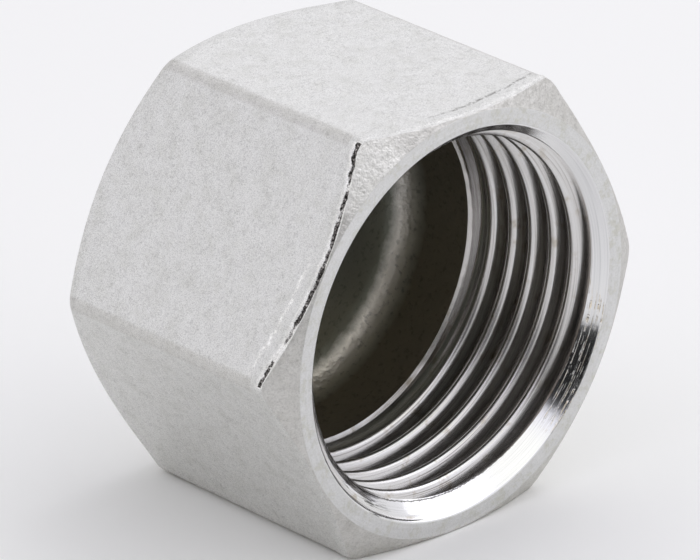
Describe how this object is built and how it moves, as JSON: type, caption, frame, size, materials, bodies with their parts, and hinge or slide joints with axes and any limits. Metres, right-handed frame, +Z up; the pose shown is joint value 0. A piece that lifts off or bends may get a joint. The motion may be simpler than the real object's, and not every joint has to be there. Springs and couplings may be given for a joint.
{
  "type": "hexagonal threaded pipe cap",
  "caption": "Hexagonal cast stainless steel pipe cap with an internal parallel pipe thread, a countersunk mouth and a closed end.",
  "frame": {"origin": "middle of the hexagon flat that the cap lies on, under the middle of the bounding box", "axes": "+Z up from the flat that the cap lies on; the thread axis runs along Y and the mouth faces -Y; X runs across two opposite corners of the hexagon"},
  "size_m": [0.0416, 0.026, 0.0365],
  "materials": {
    "cast_stainless": "blasted cast skin outside, turned and polished at the mouth and thread"
  },
  "bodies": {
    "root": {"cap_body": "cast_stainless"}
  },
  "joints": []
}
